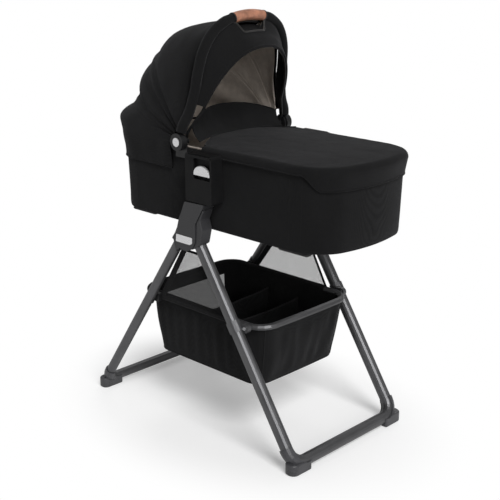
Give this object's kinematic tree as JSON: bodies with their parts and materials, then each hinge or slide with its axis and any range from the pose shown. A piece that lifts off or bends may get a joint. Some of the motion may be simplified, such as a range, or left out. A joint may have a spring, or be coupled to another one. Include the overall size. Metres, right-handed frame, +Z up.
{
  "type": "bassinet with stand",
  "caption": "Infant bassinet with fold-back hood and carry handle, locked on a folding A-frame stand with a storage basket.",
  "frame": {"origin": "centre of the object's footprint on the floor", "axes": "+X toward the cot's foot end, +Y toward the far side, +Z up"},
  "size_m": [0.935, 0.522, 1.2622],
  "materials": {
    "frame_paint": "satin anthracite powder coat on aluminium tube",
    "rim_tube": "dark coated tube",
    "hub_plastic": "dark grey moulded plastic with satin face",
    "black_plastic": "black moulded plastic, fine texture",
    "silver_trim": "satin silver",
    "black_fabric": "black melange woven fabric",
    "net_fabric": "dark open net",
    "taupe_fabric": "taupe knitted lining",
    "tan_leather": "tan leather wrap, stitched",
    "foot_rubber": "dark grey soft pads"
  },
  "bodies": {
    "stand": {"head_leg_frame": "frame_paint", "head_boot_near": "black_plastic", "head_boot_far": "black_plastic", "head_hub_near": "hub_plastic", "head_hub_far": "hub_plastic", "hub_plate_near": "silver_trim", "hub_plate_far": "silver_trim", "ring_guide_near": "black_plastic", "ring_guide_far": "black_plastic", "side_net_near": "net_fabric", "side_net_far": "net_fabric"},
    "foot_frame": {"foot_leg_frame": "frame_paint", "foot_boot_near": "black_plastic", "foot_boot_far": "black_plastic", "foot_knuckle_near": "hub_plastic", "foot_knuckle_far": "hub_plastic", "basket_bracket_near": "black_plastic", "basket_bracket_far": "black_plastic"},
    "basket": {"basket_ring": "frame_paint", "basket_bag": "black_fabric", "basket_divider_1": "black_fabric", "basket_divider_2": "black_fabric", "basket_rivet_near": "silver_trim", "basket_rivet_far": "silver_trim"},
    "cot": {"base_board": "black_plastic", "cot_shell": "black_fabric", "cot_rim": "rim_tube", "cot_lining": "taupe_fabric", "mattress": "taupe_fabric", "cot_foot_head_near": "foot_rubber", "cot_foot_head_far": "foot_rubber", "cot_foot_foot_near": "foot_rubber", "cot_foot_foot_far": "foot_rubber", "apron": "black_fabric", "wind_flap": "black_fabric", "adapter_near": "black_plastic", "adapter_far": "black_plastic", "pivot_block_near": "black_plastic", "pivot_block_far": "black_plastic", "hood_rear": "black_fabric"},
    "button_near": {"release_button_near": "silver_trim"},
    "button_far": {"release_button_far": "silver_trim"},
    "handle": {"carry_handle": "black_fabric", "leather_grip": "tan_leather", "handle_hub_near": "black_plastic", "handle_hub_far": "black_plastic", "pivot_cap_near": "silver_trim", "pivot_cap_far": "silver_trim", "hood_main": "black_fabric"},
    "visor": {"visor_bow": "black_plastic", "visor_cloth": "black_fabric"},
    "bow_mid": {"hood_bow_mid": "black_plastic", "hood_mid": "black_fabric"},
    "bow_rear": {"hood_bow_rear": "black_plastic"}
  },
  "joints": [
    {"name": "stand_fold", "type": "hinge", "parent": "stand", "child": "foot_frame", "pos_m": [-0.0139, 0, 0.628], "axis": [0, 1, 0], "range_deg": [0, 43], "deforming": ["side_net_near", "side_net_far"]},
    {"name": "basket_fold", "type": "hinge", "parent": "foot_frame", "child": "basket", "pos_m": [0.1996, 0, 0.384], "axis": [0, -1, 0], "range_deg": [0, 86]},
    {"name": "cot_lift", "type": "slide", "parent": "stand", "child": "cot", "axis": [0, 0, 1], "range_m": [0, 0.15]},
    {"name": "button_near_press", "type": "slide", "parent": "cot", "child": "button_near", "axis": [0, 1, 0], "range_m": [0, 0.004], "stiffness_N_per_m": 400},
    {"name": "button_far_press", "type": "slide", "parent": "cot", "child": "button_far", "axis": [0, -1, 0], "range_m": [0, 0.004], "stiffness_N_per_m": 400},
    {"name": "handle_fold", "type": "hinge", "parent": "cot", "child": "handle", "pos_m": [-0.0639, 0, 0.894], "axis": [0, -1, 0], "range_deg": [0, 65], "deforming": ["hood_main"]},
    {"name": "visor_fold", "type": "hinge", "parent": "handle", "child": "visor", "pos_m": [-0.0639, 0, 0.894], "axis": [0, -1, 0], "range_deg": [0, 11], "deforming": ["visor_cloth"]},
    {"name": "bow_mid_fold", "type": "hinge", "parent": "cot", "child": "bow_mid", "pos_m": [-0.0639, 0, 0.894], "axis": [0, -1, 0], "range_deg": [0, 26], "deforming": ["hood_mid"]},
    {"name": "bow_rear_fold", "type": "hinge", "parent": "cot", "child": "bow_rear", "pos_m": [-0.0639, 0, 0.894], "axis": [0, -1, 0], "range_deg": [0, 7.8], "deforming": ["hood_rear"]}
  ],
  "couplings": [
    {"joint": "basket_fold", "follows": "stand_fold", "ratio": 2},
    {"joint": "bow_mid_fold", "follows": "handle_fold", "ratio": 0.4},
    {"joint": "bow_rear_fold", "follows": "handle_fold", "ratio": 0.12}
  ]
}
